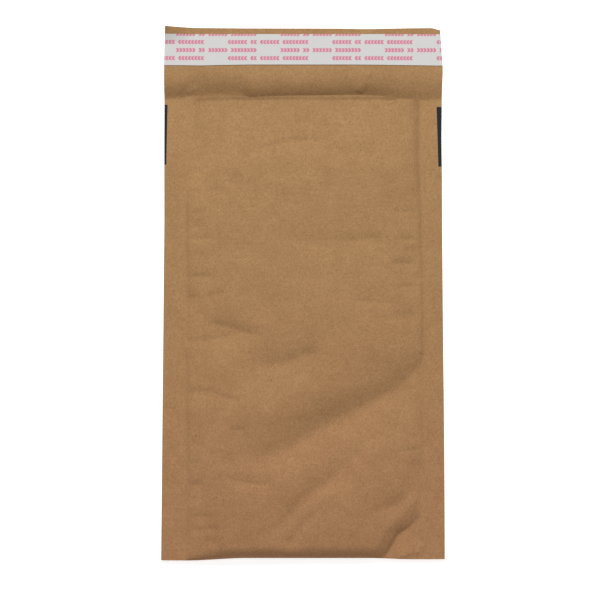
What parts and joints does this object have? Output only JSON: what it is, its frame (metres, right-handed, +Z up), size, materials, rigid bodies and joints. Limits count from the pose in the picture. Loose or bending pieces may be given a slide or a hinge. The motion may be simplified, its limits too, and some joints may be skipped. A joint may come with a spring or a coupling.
{
  "type": "padded envelope",
  "caption": "Padded kraft mailing envelope lying empty on its back, flap open, with a bubble film lining and a release liner over the flap's adhesive.",
  "frame": {"origin": "middle of the footprint, on the surface that the envelope lies on", "axes": "+Y from the bottom fold to the flap, +Z up out of the front panel, +X to the right as the front is read"},
  "size_m": [0.1534, 0.2896, 0.0108],
  "materials": {
    "kraft_paper": "matte",
    "bubble_film": "satin",
    "adhesive": "gloss",
    "liner_paper": "satin"
  },
  "bodies": {
    "root": {"paper_shell": "kraft_paper", "bubble_lining": "bubble_film", "adhesive_strip": "adhesive", "release_liner": "liner_paper"}
  },
  "joints": []
}
